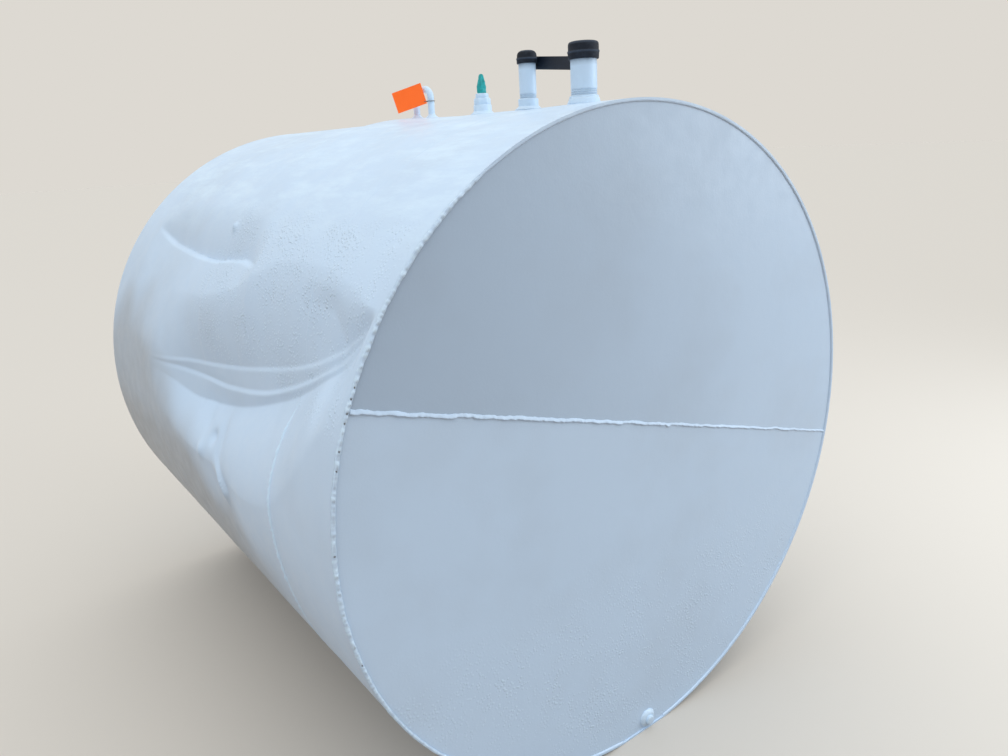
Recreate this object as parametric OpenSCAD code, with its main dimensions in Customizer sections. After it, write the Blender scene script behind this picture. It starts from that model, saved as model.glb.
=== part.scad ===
// Horizontal steel fuel tank with flat welded heads, in millimetres.
// The tank lies along Y with its drain end at -Y. The origin is on the strip it rests on, at mid length.

/* [Shell] */
// Outside diameter of the shell
tank_d = 1626; // [1560:1:1700]
// Length over the rims of the two heads
tank_l = 1829; // [1760:1:1900]
// Thickness of the shell plate
shell_t = 4.8; // [3:0.1:7]
// Width of the strip that its own weight has pressed flat
rest_w = 150; // [120:1:180]

/* [Courses] */
// Length of the front course
front_course_l = 320; // [290:1:340]
// Length of the middle course
middle_course_l = 631; // [610:1:660]
// How far the crown of the middle course stands proud at its rear seam
crown_lift = 9; // [6:0.5:12]
// Length over which that crown rises
crown_run = 300; // [260:1:340]

/* [Heads] */
// Thickness of a head plate
head_t = 6.4; // [4:0.1:10]
// How far a head is set in from the shell's rim
head_inset = 3.4; // [3.2:0.1:8]
// Height of the seam across a head over the tank's axis
head_seam_up = 76; // [40:1:120]
// Slope of that seam, down to the right
head_seam_tilt = 16.4; // [0:0.1:25]

/* [Welds] */
// Width of a butt weld bead
bead_w = 9; // [6:0.1:12]
// Height of a butt weld bead
bead_h = 2.4; // [1:0.1:3]
// Leg of the fillet weld inside a rim
rim_fillet = 3; // [2:0.1:3.1]
// Leg of the fillet weld round a coupling or a foot
foot_fillet = 8; // [5:0.1:9]

/* [Fill riser] */
// Distance of the fill riser from the front rim
fill_y = 190; // [170:1:205]
// Outside diameter of the fill pipe
fill_pipe_d = 60.3; // [54:0.1:63]
// Wall of the fill pipe
fill_pipe_wall = 3.9; // [2:0.1:5]
// Outside diameter of the fill coupling
fill_coupling_d = 67; // [66:0.1:74]
// Height of the fill coupling over the crown
fill_coupling_h = 17; // [12:0.1:24]
// Width on the crown of the sloping weld round the fill coupling
fill_collar_w = 5; // [3:0.1:9]
// Height of that weld
fill_collar_h = 14; // [6:0.1:16]
// Height of the fill cap's top over the crown
fill_top = 132; // [125:1:145]
// Outside diameter of the fill cap's band
fill_cap_d = 73; // [71:0.1:78]
// Height of the fill cap
fill_cap_h = 38; // [34:0.1:42]

/* [Vent riser] */
// Distance of the vent riser from the front rim
vent_y = 393; // [380:1:410]
// Outside diameter of the vent pipe
vent_pipe_d = 42.2; // [38:0.1:43]
// Wall of the vent pipe
vent_pipe_wall = 3.6; // [2:0.1:4.5]
// Outside diameter of the vent coupling
vent_coupling_d = 50; // [48:0.1:54]
// Height of the vent coupling over the crown
vent_coupling_h = 25; // [18:0.1:32]
// Height of the vent cap's top over the crown
vent_top = 137; // [130:1:150]
// Outside diameter of the vent cap's band
vent_cap_d = 52; // [50:0.1:56]
// Height of the vent cap
vent_cap_h = 31; // [28:0.1:35]

/* [Spare port] */
// Distance of the spare port from the front rim
port_y = 589; // [570:1:610]
// Outside diameter of the port's coupling
port_d = 49; // [46:0.1:54]
// Height of that coupling over the crown
port_h = 24; // [18:0.1:30]
// Width over the corners of the large bushing's hexagon
bushing_w = 46; // [42:0.1:50]
// Height of the large bushing's hexagon
bushing_h = 17; // [12:0.1:22]
// Width over the corners of the small bushing's hexagon
reducer_w = 36; // [33:0.1:38]
// Height of the small bushing's hexagon
reducer_h = 11.5; // [8:0.1:15]
// Height of the plug that shows over the small bushing
plug_h = 49; // [42:0.1:56]
// Diameter of the plug at its foot
plug_d = 26; // [22:0.1:27]

/* [Lifting lug] */
// Distance of the lug's middle in front of the rear girth seam
lug_back = 63; // [59:1:70]
// Diameter of the lug's round bar
lug_bar_d = 20; // [16:0.1:24]
// Distance between the centres of its legs
lug_w = 83; // [72:1:90]
// Height of the lug's top over the crown
lug_h = 95; // [80:1:110]
// Radius of each bend on the bar's centre line
lug_bend = 26; // [20:1:32]

/* [Tag] */
// Length of the tag
tag_l = 92; // [70:1:100]
// Height of the tag
tag_w = 59; // [40:1:70]
// Thickness of the tag
tag_t = 1.2; // [0.8:0.1:2]
// Radius of the tag's hole
tag_hole_r = 3; // [2.5:0.1:3.5]
// Height of the tag's hole over the crown
tag_up = 51; // [40:0.1:57]
// Distance of the hole from the middle of the lug's front leg
tag_reach = 19.5; // [19:0.1:24]
// Lean of the tag, down to its far end
tag_lean = 15; // [0:0.5:30]
// Turn of the tag from square across the tank
tag_turn = 46; // [30:0.5:50]
// Diameter of the wire that ties it on
wire_d = 2; // [1.2:0.1:2.6]

/* [Lock bar] */
// Height of the flat bar behind the caps
bar_h = 30; // [20:0.1:34]
// Thickness of that bar
bar_t = 6; // [3:0.1:10]
// Height of the bar's middle over the crown at the fill riser
bar_up = 87; // [84:0.1:98]
// Slope of the bar, up to the rear
bar_tilt = 6; // [3:0.1:7]
// How far behind the fill riser's centre the bar starts
bar_start = 3; // [0:0.1:6]
// How far the bar runs on past the vent riser's centre
bar_end = 22; // [15:0.1:28]

/* [Drain] */
// Height of the drain's centre over the bottom of the head
drain_up = 27; // [26:0.1:40]
// Distance of the drain to the right of the middle
drain_x = 15; // [0:1:30]
// Outside diameter of the drain coupling
drain_d = 38; // [34:0.1:40]
// How far the drain coupling stands out of the head
drain_out = 7; // [5:0.1:10]
// Diameter of the drain plug's head
drain_plug_d = 25; // [20:0.1:28]
// How far the plug's head stands out of its coupling
drain_plug_out = 8; // [5:0.1:12]

/* [Dents] */
// Distance of the upper dent's middle from the front rim
upper_dent_y = 1170; // [1130:1:1200]
// Angle of the upper dent's middle from the crown
upper_dent_a = 49.5; // [47:0.5:51]
// Depth of the upper dent
upper_dent_deep = 25; // [15:1:30]
// Radius of the hollow of the upper dent
upper_dent_r = 2400; // [2000:10:2800]
// Distance of the large side dent's middle from the front rim
side_dent_y = 565; // [555:1:600]
// Angle of the large side dent's middle from the crown
side_dent_a = 73; // [71:0.5:75]
// Depth of the large side dent
side_dent_deep = 54; // [45:1:57]
// Radius of the hollow of the large side dent
side_dent_r = 2400; // [2200:10:2500]
// Distance of the lower crease's lowest point from the front rim
lower_crease_y = 820; // [800:1:840]
// Angle of the lower crease's lowest point from the crown
lower_crease_a = 78.5; // [77:0.5:80]
// Depth of the lower crease at its lowest point
lower_crease_deep = 50; // [46:1:52]
// Radius on which the lower crease curves up toward the front rim
lower_crease_ring_r = 1130; // [1080:10:1180]
// Distance of the upper crease's lowest point from the front rim
upper_crease_y = 1000; // [990:1:1020]
// Angle of the upper crease's lowest point from the crown
upper_crease_a = 74.5; // [73.5:0.5:75.5]
// Depth of the upper crease at its lowest point
upper_crease_deep = 28; // [24:1:29]
// Radius on which the upper crease curves up toward the front rim
upper_crease_ring_r = 1900; // [1850:10:2000]
// Radius of the hollow of a crease
crease_r = 90; // [70:1:100]

/* [Hidden] */
$fn = 96;
// Facets of the tank's own large circles
round_fn = 360;
// Clearance of a fit, such as a screwed joint
fit = 0.3;
tank_r = tank_d / 2;
rest_sink = tank_r - sqrt(tank_r * tank_r - rest_w * rest_w / 4);
axis_z = tank_r - rest_sink;
crown_z = axis_z + tank_r;
front_y = -tank_l / 2;
rear_y = tank_l / 2;
seam1_y = front_y + front_course_l;
seam2_y = seam1_y + middle_course_l;
lift_angle = atan(crown_lift / crown_run);
lift_y = seam2_y - crown_run;
// The pulled-up crown is rounder by this, and so fades out down the sides
lift_slack = 1;
// Length over which its surface starts inside the plate
lift_lead = 20;
// Radius of a bead's round back, from its width and height
bead_r = (bead_w * bead_w / 4 + bead_h * bead_h) / (2 * bead_h);
inner_r = tank_r - shell_t;
// A head's rim lies inside the fillet weld's leg
seam_end_r = inner_r - rim_fillet - fit;
// Angles at which each crease digs in toward the front, and lifts off as it climbs
lower_crease_tip = 3.4;
lower_crease_roll = 6.4;
upper_crease_tip = 5.5;
upper_crease_roll = 15.5;
// Depth to which a coupling reaches in through its plate
coupling_in = 22;
// Depth to which a thread is screwed in
screwed = 18;
// Angles of the lengthwise seams from the crown, to the right side and staggered
front_long_a = -126;
middle_long_a = -97;
rear_long_a = -118;
fill_coupling_r = fill_coupling_d / 2;
vent_coupling_r = vent_coupling_d / 2;
port_r = port_d / 2;
// Wall of a coupling or a bushing outside its thread
socket_wall = 4;
// How far a bushing's or a plug's shank is slimmer than its head
shank_in = 2;
plug_shank_r = plug_d / 2 - socket_wall;
reducer_shank_r = reducer_w / 2 * cos(30) - shank_in;
bushing_shank_r = bushing_w / 2 * cos(30) - shank_in;
drain_shank_r = drain_plug_d / 2 - shank_in;
// The weld round the drain keeps clear of the weld inside the rim
drain_room = inner_r - rim_fillet - norm([drain_x, axis_z - shell_t - drain_up]) - drain_d / 2;
drain_leg = min(foot_fillet, drain_room - fit);
lug_r = lug_bar_d / 2;
lug_y = front_course_l + middle_course_l - lug_back;
lug_bar_z = crown_z + lug_h - lug_r;
wire_r = wire_d / 2;
// The wire's loop lies close round the leg
loop_r = lug_r + fit + wire_r;
// The tag hangs from the wire by the top of its hole
tag_drop = tag_hole_r - wire_r - fit;
// Distances of the tag's hole from its end and its lower edge
hole_in = 6;
hole_above = 5.2;
// Least thickness of a weld at its upper edge
weld_edge = 0.5;
// Depth under the crown at which a weld's cone starts
weld_sunk = 4;
// Shares of a cap's height that its band and its rounded edge take
cap_band = 0.4;
cap_round = 0.3;
// How far a cap's band stands proud of its body
cap_lip = 1.5;
// Radius and height at each step of the crumpled plug, as shares of its diameter and height
plug_steps = [[0.46, 0.25], [0.38, 0.6], [0.2, 0.93]];
// Plate colours
white = [0.86, 0.88, 0.9];
black = [0.08, 0.09, 0.12];
orange = [0.96, 0.38, 0.1];
teal = [0.1, 0.6, 0.56];
steel = [0.5, 0.5, 0.5];

// Lays a shape that stands on Z along the tank's axis, from y0
module along(y0) {
    translate([0, y0, axis_z]) rotate([-90, 0, 0]) children();
}

// Round barrel from y0 to y1, grown by g, with the resting strip flat
module barrel(g, y0, y1) {
    difference() {
        along(y0) cylinder(h = y1 - y0, r = tank_r + g, $fn = round_fn);
        translate([-rest_w, y0 - 1, -rest_w - g]) cube([2 * rest_w, y1 - y0 + 2, rest_w]);
    }
}

// Slice of space across the tank from y0 to y1
module slice(y0, y1) {
    translate([-tank_d, y0, -tank_d]) cube([2 * tank_d, y1 - y0, 3 * tank_d]);
}

// The part of the middle course whose crown has been pulled up, grown by g, as far as y1
module lifted(g, y1) {
    intersection() {
        translate([0, lift_y, axis_z + lift_slack]) rotate([lift_angle - 90, 0, 0])
            translate([0, 0, -crown_run])
                cylinder(h = 3 * crown_run, r = tank_r - lift_slack + g, $fn = round_fn);
        translate([-tank_d, lift_y - lift_lead, axis_z])
            cube([2 * tank_d, y1 - lift_y + lift_lead, tank_d]);
    }
}

// Puts a shape on the shell, y from the front rim and a degrees from the crown to the left
module on_shell(y, a) {
    translate([0, front_y + y, axis_z]) rotate([0, -a, 0]) translate([0, 0, tank_r]) children();
}

// Round hollow, shrunk by g
module bowl(y, a, r, deep, g) {
    on_shell(y, a) translate([0, 0, r - deep]) sphere(r = r - g, $fn = round_fn);
}

// Curved crease that climbs toward the front rim, shrunk by g, dug in by tip and lifted off by roll
module crease(y, a, deep, ring_r, tip, roll, g) {
    on_shell(y, a) translate([0, 0, crease_r - deep]) rotate([tip, -roll, 0])
        translate([ring_r, 0, 0])
            rotate_extrude($fn = round_fn) translate([ring_r, 0]) circle(r = crease_r - g);
}

// All the dents in the left side, for a surface grown by g
module dents(g) {
    bowl(upper_dent_y, upper_dent_a, upper_dent_r, upper_dent_deep, g);
    bowl(side_dent_y, side_dent_a, side_dent_r, side_dent_deep, g);
    crease(lower_crease_y, lower_crease_a, lower_crease_deep, lower_crease_ring_r,
        lower_crease_tip, lower_crease_roll, g);
    crease(upper_crease_y, upper_crease_a, upper_crease_deep, upper_crease_ring_r,
        upper_crease_tip, upper_crease_roll, g);
}

// Hole of radius r down through the crown, y from the front rim
module crown_hole(y, r) {
    translate([0, front_y + y, crown_z - 3 * coupling_in]) cylinder(h = 6 * coupling_in, r = r);
}

module front_shell_course() {
    color(white) difference() {
        barrel(0, front_y, seam1_y);
        difference() {
            barrel(-shell_t, front_y - 1, seam1_y + 1);
            dents(-shell_t);
        }
        dents(0);
        crown_hole(fill_y, fill_coupling_r + fit);
    }
}

module middle_shell_course() {
    color(white) difference() {
        union() {
            barrel(0, seam1_y, seam2_y);
            lifted(0, seam2_y);
        }
        difference() {
            union() {
                barrel(-shell_t, seam1_y - 1, seam2_y + 1);
                lifted(-shell_t, seam2_y + 1);
            }
            dents(-shell_t);
        }
        dents(0);
        crown_hole(vent_y, vent_coupling_r + fit);
        crown_hole(port_y, port_r + fit);
    }
}

module rear_shell_course() {
    color(white) difference() {
        barrel(0, seam2_y, rear_y);
        difference() {
            barrel(-shell_t, seam2_y - 1, rear_y + 1);
            dents(-shell_t);
        }
        dents(0);
    }
}

// Bead on the shell's outside from y0 to y1, which follows the dents and ends at the resting strip
module girth_bead(y0, y1) {
    difference() {
        barrel(bead_h, y0, y1);
        difference() {
            barrel(0, y0 - 1, y1 + 1);
            dents(0);
        }
        dents(bead_h);
        translate([-tank_d, y0 - 1, -tank_d]) cube([2 * tank_d, y1 - y0 + 2, tank_d]);
    }
}

module front_girth_weld() {
    color(white) girth_bead(seam1_y - bead_w / 2, seam1_y + bead_w / 2);
}

// A fillet in the corner behind the middle course's raised crown
module rear_girth_weld() {
    color(white) {
        girth_bead(seam2_y, seam2_y + bead_w / 2);
        difference() {
            intersection() {
                lifted(0, seam2_y + bead_w / 2);
                slice(seam2_y, seam2_y + bead_w / 2);
            }
            barrel(bead_h, seam2_y - 1, seam2_y + bead_w);
            dents(0);
        }
    }
}

// Straight bead along the shell from y0 to y1, a degrees from the crown
module long_bead(y0, y1, a) {
    on_shell(y0 - front_y, a) difference() {
        translate([0, 0, bead_h - bead_r]) rotate([-90, 0, 0]) cylinder(h = y1 - y0, r = bead_r);
        translate([-bead_w, -1, -2 * bead_r]) cube([2 * bead_w, y1 - y0 + 2, 2 * bead_r]);
    }
}

module front_long_weld() {
    color(white) long_bead(front_y, seam1_y - bead_w / 2, front_long_a);
}

module middle_long_weld() {
    color(white) long_bead(seam1_y + bead_w / 2, seam2_y, middle_long_a);
}

module rear_long_weld() {
    color(white) long_bead(seam2_y + bead_w / 2, rear_y, rear_long_a);
}

// A head's plate, as seen from outside the front, with its outer face at Y 0
module head_plate(upper) {
    difference() {
        intersection() {
            rotate([-90, 0, 0]) cylinder(h = head_t, r = inner_r - fit, $fn = round_fn);
            rotate([0, head_seam_tilt, 0])
                translate([-tank_r, -1, upper ? head_seam_up : -tank_d])
                    cube([tank_d, head_t + 2, upper ? tank_r : tank_d + head_seam_up]);
        }
        translate([-rest_w, -1, -axis_z]) cube([2 * rest_w, head_t + 2, shell_t + fit]);
    }
}

// The bead across a head, round on its back
module head_bead() {
    seam_half = sqrt(seam_end_r * seam_end_r - pow(head_seam_up + bead_w / 2, 2)) - fit;
    difference() {
        rotate([0, head_seam_tilt, 0]) translate([-seam_half, bead_r - bead_h, head_seam_up])
            rotate([0, 90, 0]) cylinder(h = 2 * seam_half, r = bead_r);
        translate([-tank_d, 0, -tank_d]) cube([2 * tank_d, tank_r, 2 * tank_d]);
    }
}

// The fillet weld in the corner between a head's face at Y 0 and the rim in front of it
module rim_bead() {
    difference() {
        rotate([90, 0, 0]) rotate_extrude($fn = round_fn)
            polygon([[inner_r - rim_fillet, 0], [inner_r, 0], [inner_r, rim_fillet]]);
        translate([-rest_w, -rim_fillet - 1, -axis_z]) cube([2 * rest_w, rim_fillet + 2, shell_t]);
    }
}

// Places a head's part inside the front rim or the rear rim
module at_front() {
    translate([0, front_y + head_inset, axis_z]) children();
}

module at_rear() {
    translate([0, rear_y - head_inset, axis_z]) mirror([0, 1, 0]) children();
}

// Cylinder out of the front head round the drain's centre, from y0 to y1 off the head's face
module drain_rod(r, y0, y1) {
    translate([drain_x, front_y + head_inset - y1, shell_t + drain_up])
        rotate([-90, 0, 0]) cylinder(h = y1 - y0, r = r);
}

module front_head_upper_plate() {
    color(white) at_front() head_plate(true);
}

module front_head_lower_plate() {
    color(white) difference() {
        at_front() head_plate(false);
        drain_rod(drain_d / 2 + fit, -2 * head_t, head_t);
    }
}

module front_head_seam_weld() {
    color(white) at_front() head_bead();
}

module front_rim_weld() {
    color(white) at_front() rim_bead();
}

module rear_head_upper_plate() {
    color(white) at_rear() head_plate(true);
}

module rear_head_lower_plate() {
    color(white) at_rear() head_plate(false);
}

module rear_head_seam_weld() {
    color(white) at_rear() head_bead();
}

module rear_rim_weld() {
    color(white) at_rear() rim_bead();
}

// Socket through the crown with a bore of radius bore_r, y from the front rim
module crown_socket(y, r, h, bore_r) {
    translate([0, front_y + y, crown_z]) difference() {
        translate([0, 0, -coupling_in]) cylinder(h = h + coupling_in, r = r);
        translate([0, 0, -coupling_in - 1]) cylinder(h = h + coupling_in + 2, r = bore_r);
    }
}

// Sloping weld round a socket of radius r, w wide on the crown and h high
module crown_fillet(y, r, w, h) {
    difference() {
        translate([0, front_y + y, crown_z - weld_sunk])
            cylinder(h = h + weld_sunk, r1 = r + weld_edge + w + w / h * weld_sunk, r2 = r + weld_edge);
        crown_hole(y, r);
        barrel(0, front_y + y - 2 * r, front_y + y + 2 * r);
    }
}

// Pipe that is screwed into a socket of height h, up to top over the crown
module riser(y, d, wall, h, top) {
    translate([0, front_y + y, crown_z + h - screwed]) difference() {
        cylinder(h = top - h + screwed, d = d);
        translate([0, 0, -1]) cylinder(h = top - h + screwed + 2, d = d - 2 * wall);
    }
}

// Malleable pipe cap with a band round its mouth and a rounded crown
module cap(y, d, h, pipe_d, top) {
    body_r = d / 2 - cap_lip;
    round_r = h * cap_round;
    translate([0, front_y + y, crown_z + top - h]) difference() {
        rotate_extrude() union() {
            square([d / 2, h * cap_band]);
            square([body_r, h - round_r]);
            square([body_r - round_r, h]);
            translate([body_r - round_r, h - round_r]) circle(r = round_r);
        }
        translate([0, 0, -1]) cylinder(h = screwed + 1, d = pipe_d + 2 * fit);
    }
}

module fill_coupling() {
    color(white) crown_socket(fill_y, fill_coupling_r, fill_coupling_h, fill_pipe_d / 2 + fit);
}

module fill_collar_weld() {
    color(white) crown_fillet(fill_y, fill_coupling_r, fill_collar_w, fill_collar_h);
}

module fill_riser() {
    color(white) riser(fill_y, fill_pipe_d, fill_pipe_wall, fill_coupling_h, fill_top - fill_cap_h + screwed);
}

module fill_cap() {
    color(black) cap(fill_y, fill_cap_d, fill_cap_h, fill_pipe_d, fill_top);
}

module vent_coupling() {
    color(white) crown_socket(vent_y, vent_coupling_r, vent_coupling_h, vent_pipe_d / 2 + fit);
}

module vent_collar_weld() {
    color(white) crown_fillet(vent_y, vent_coupling_r, foot_fillet, foot_fillet);
}

module vent_riser() {
    color(white) riser(vent_y, vent_pipe_d, vent_pipe_wall, vent_coupling_h, vent_top - vent_cap_h + screwed);
}

module vent_cap() {
    color(black) cap(vent_y, vent_cap_d, vent_cap_h, vent_pipe_d, vent_top);
}

module port_coupling() {
    color(white) crown_socket(port_y, port_r, port_h, bushing_shank_r + fit);
}

module port_collar_weld() {
    color(white) crown_fillet(port_y, port_r, foot_fillet, foot_fillet);
}

// Hexagonal bushing on a screwed shank, with a bore, foot at height z over the crown
module bushing(z, w, h, shank_r, bore_r) {
    translate([0, front_y + port_y, crown_z + z]) difference() {
        union() {
            cylinder(h = h, d = w, $fn = 6);
            translate([0, 0, -screwed]) cylinder(h = screwed + h / 2, r = shank_r);
        }
        translate([0, 0, -screwed - 1]) cylinder(h = h + screwed + 2, r = bore_r);
    }
}

module port_bushing() {
    color(white) bushing(port_h, bushing_w, bushing_h, bushing_shank_r, reducer_shank_r + fit);
}

module port_reducer() {
    color(white) bushing(port_h + bushing_h, reducer_w, reducer_h, reducer_shank_r, plug_shank_r + fit);
}

// Tapered plug, screwed into the small bushing
module port_plug() {
    color(teal) translate([0, front_y + port_y, crown_z + port_h + bushing_h + reducer_h])
        rotate_extrude() polygon([[0, -screwed], [plug_shank_r, -screwed], [plug_shank_r, 0],
            [plug_d / 2, 0], for (step = plug_steps) [step[0] * plug_d, step[1] * plug_h], [0, plug_h]]);
}

// Round bar bent into a staple, with its legs run down past the crown
module lug_bar(r) {
    half = lug_w / 2;
    leg = lug_h - lug_r - lug_bend + coupling_in;
    translate([0, front_y + lug_y, lug_bar_z]) {
        for (side = [-1, 1]) {
            translate([0, side * half, -lug_bend - leg]) cylinder(h = leg, r = r);
            translate([0, side * (half - lug_bend), -lug_bend]) rotate([90, 0, side * 90])
                rotate_extrude(angle = 90) translate([lug_bend, 0]) circle(r = r);
        }
        translate([0, lug_bend - half, 0]) rotate([-90, 0, 0])
            cylinder(h = lug_w - 2 * lug_bend, r = r);
    }
}

module lifting_lug() {
    color(white) difference() {
        lug_bar(lug_r);
        barrel(0, lift_y - crown_run, rear_y);
        lifted(0, rear_y);
    }
}

module lug_foot_welds() {
    color(white) difference() {
        for (side = [-1, 1])
            translate([0, front_y + lug_y + side * lug_w / 2, crown_z - foot_fillet])
                cylinder(h = crown_lift + 2 * foot_fillet,
                    r1 = lug_r + weld_edge + crown_lift + 2 * foot_fillet, r2 = lug_r + weld_edge);
        for (side = [-1, 1])
            translate([0, front_y + lug_y + side * lug_w / 2, crown_z - coupling_in])
                cylinder(h = 4 * coupling_in, r = lug_r);
        barrel(0, lift_y - crown_run, rear_y);
        lifted(0, rear_y);
    }
}

// Frame of the tag, at the front leg's middle with X along the tag
module at_tag() {
    translate([0, front_y + lug_y - lug_w / 2, crown_z + tag_up]) rotate([0, 0, -tag_turn]) children();
}

// Card that the wire holds by a hole in its lower corner
module tag() {
    color(orange) at_tag() translate([-tag_reach, 0, -tag_drop]) rotate([0, -tag_lean, 0]) difference() {
        translate([hole_in - tag_l, -tag_t / 2, -hole_above]) cube([tag_l, tag_t, tag_w]);
        rotate([90, 0, 0]) cylinder(h = 4 * tag_t, r = tag_hole_r, center = true);
    }
}

// Loop of wire round the leg and through the tag's hole
module tag_wire() {
    straight = tag_reach - loop_r;
    color(steel) at_tag() {
        rotate([0, 0, -90]) rotate_extrude(angle = 180) translate([loop_r, 0]) circle(r = wire_r);
        translate([-straight, 0, 0]) rotate([0, 0, 90])
            rotate_extrude(angle = 180) translate([loop_r, 0]) circle(r = wire_r);
        for (side = [-1, 1])
            translate([-straight, side * loop_r, 0]) rotate([0, 90, 0])
                cylinder(h = straight, r = wire_r);
    }
}

// Flat bar that lies along the far side of both caps
module cap_lock_bar() {
    turn = asin((fill_cap_d - vent_cap_d) / 2 / (vent_y - fill_y));
    color(black) translate([0, front_y + fill_y, crown_z + bar_up]) rotate([0, 0, turn])
        rotate([bar_tilt, 0, 0]) translate([fill_cap_d / 2 + fit, bar_start, -bar_h / 2])
            cube([bar_t, vent_y - fill_y - bar_start + bar_end, bar_h]);
}

module drain_coupling() {
    color(white) difference() {
        drain_rod(drain_d / 2, -coupling_in, drain_out);
        drain_rod(drain_shank_r + fit, -coupling_in - 1, drain_out + 1);
    }
}

module drain_collar_weld() {
    color(white) difference() {
        translate([drain_x, front_y + head_inset, shell_t + drain_up]) rotate([90, 0, 0])
            cylinder(h = drain_leg, r1 = drain_d / 2 + drain_leg, r2 = drain_d / 2 + weld_edge);
        drain_rod(drain_d / 2, -1, drain_leg + 1);
    }
}

module drain_plug() {
    color(white) {
        drain_rod(drain_shank_r, -screwed, drain_out + 1);
        drain_rod(drain_plug_d / 2, drain_out, drain_out + drain_plug_out);
    }
}

front_shell_course();
middle_shell_course();
rear_shell_course();
front_girth_weld();
rear_girth_weld();
front_long_weld();
middle_long_weld();
rear_long_weld();
front_head_upper_plate();
front_head_lower_plate();
front_head_seam_weld();
front_rim_weld();
rear_head_upper_plate();
rear_head_lower_plate();
rear_head_seam_weld();
rear_rim_weld();
fill_coupling();
fill_collar_weld();
fill_riser();
fill_cap();
vent_coupling();
vent_collar_weld();
vent_riser();
vent_cap();
port_coupling();
port_collar_weld();
port_bushing();
port_reducer();
port_plug();
lifting_lug();
lug_foot_welds();
tag();
tag_wire();
cap_lock_bar();
drain_coupling();
drain_collar_weld();
drain_plug();
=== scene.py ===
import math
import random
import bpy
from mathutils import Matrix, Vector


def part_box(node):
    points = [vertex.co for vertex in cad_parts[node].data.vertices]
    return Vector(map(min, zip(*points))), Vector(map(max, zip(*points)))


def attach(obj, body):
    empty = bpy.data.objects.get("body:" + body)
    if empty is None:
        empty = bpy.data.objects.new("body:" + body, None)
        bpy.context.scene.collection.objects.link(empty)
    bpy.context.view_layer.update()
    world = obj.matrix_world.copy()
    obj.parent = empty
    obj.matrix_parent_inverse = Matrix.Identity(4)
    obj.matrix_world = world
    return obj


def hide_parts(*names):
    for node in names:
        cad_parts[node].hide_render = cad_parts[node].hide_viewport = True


bl_info = {
    "name": "Horizontal steel fuel tank",
    "version": (1, 0, 0),
    "blender": (4, 5, 0),
    "location": "3D View > Sidebar > Fuel tank",
    "description": "Dresses a welded steel fuel tank: dented shell, beads, fittings and weathered enamel",
    "category": "Object",
}

import bpy
import numpy as np
from mathutils import Matrix, Vector, noise

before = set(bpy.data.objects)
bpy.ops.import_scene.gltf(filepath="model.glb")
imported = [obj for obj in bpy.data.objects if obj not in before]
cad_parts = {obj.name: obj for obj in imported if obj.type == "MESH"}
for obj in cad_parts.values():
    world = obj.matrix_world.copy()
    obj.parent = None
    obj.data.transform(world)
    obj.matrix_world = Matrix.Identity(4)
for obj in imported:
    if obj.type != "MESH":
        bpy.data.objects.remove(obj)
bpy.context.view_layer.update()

MM = 0.001


def box_mm(name):
    """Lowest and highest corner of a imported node, in millimetres."""
    return [np.array(corner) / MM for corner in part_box(name)]


# The tank's own measures in millimetres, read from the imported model. RIM_Y is where the front rim stands in
# the part's frame; every other y is counted back from that rim.
FRONT_BOX = box_mm("front_shell_course")
MIDDLE_BOX = box_mm("middle_shell_course")
RIM_Y = FRONT_BOX[0][1]
SEAM1 = FRONT_BOX[1][1] - RIM_Y
SEAM2 = MIDDLE_BOX[1][1] - RIM_Y
TANK_L = box_mm("rear_shell_course")[1][1] - RIM_Y
TANK_R = FRONT_BOX[1][0]
AXIS_Z = FRONT_BOX[1][2] - TANK_R
CROWN_Z = AXIS_Z + TANK_R
CROWN_LIFT = MIDDLE_BOX[1][2] - CROWN_Z
HEAD_Y = box_mm("front_head_upper_plate")[0][1] - RIM_Y
REAR_HEAD_Y = box_mm("rear_head_upper_plate")[1][1] - RIM_Y
HEAD_R = box_mm("front_head_upper_plate")[1][0]

# Thickness of the shell's plate
PLATE = 4.8
# Half the leg of the weld in a head's corner
HALF_LEG = 1.6
# Beads round the tank stop this far from the middle of the strip that it rests on
REST_HALF = 78
# Share of fresh, thick paint on the small fittings
FITTING_COAT = 0.65


# Settings

def length(name, description, default):
    """A size that the user can change, given in millimetres."""
    return bpy.props.FloatProperty(name=name, description=description, default=default * MM, unit="LENGTH",
        precision=4)


def linear(code):
    """Turns an sRGB hex colour into linear RGB."""
    parts = [int(code[i:i + 2], 16) / 255 for i in (1, 3, 5)]
    return tuple(c / 12.92 if c <= 0.04045 else ((c + 0.055) / 1.055) ** 2.4 for c in parts)


def colour(name, description, code):
    """A colour that the user can change, given as sRGB hex."""
    return bpy.props.FloatVectorProperty(name=name, description=description, default=linear(code), size=3,
        subtype="COLOR", min=0, max=1)


class FinishSettings(bpy.types.PropertyGroup):
    enamel: colour("Enamel", "Colour of the sprayed white enamel", "#D2E5F8")
    # Also the colour of the painted highlights on beads and the painted glints on dry spray
    fresh: colour("Fresh enamel", "Colour of the enamel where it lies thick and clean", "#DDF0FF")
    # Also the colour of the painted shade in the dust film
    grime_and_shade: colour("Grime", "Colour of the dust and chalk that lies on the enamel", "#938A7D")
    # Also the colour of the painted shade on the heads' upper plates
    primer_and_shade: colour("Primer", "Grey-blue coat that shows where the enamel is thin", "#8C9AAA")
    rust: colour("Rust", "Colour in the pinholes of the welds", "#3A2A22")
    # Also the colour of the painted shade under the caps
    soot: colour("Soot", "Colour of the dirt in the threads and under the caps", "#3B3F46")
    iron: colour("Iron", "Colour of the painted malleable caps", "#0B1523")
    # The worn edge colour is also the caps' painted highlight
    iron_edge: colour("Worn edge", "Colour where the caps' paint has gone grey", "#5E6A7C")
    bar: colour("Bar", "Colour of the flat bar's dark paint", "#0C1A2B")
    card: colour("Card", "Colour of the orange vinyl tag", "#FF6A18")
    teal: colour("Teal", "Colour of the paint on the spare port's plug", "#20BDBA")
    wire: colour("Wire", "Colour of the dull tie wire", "#6D6A66")


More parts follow.
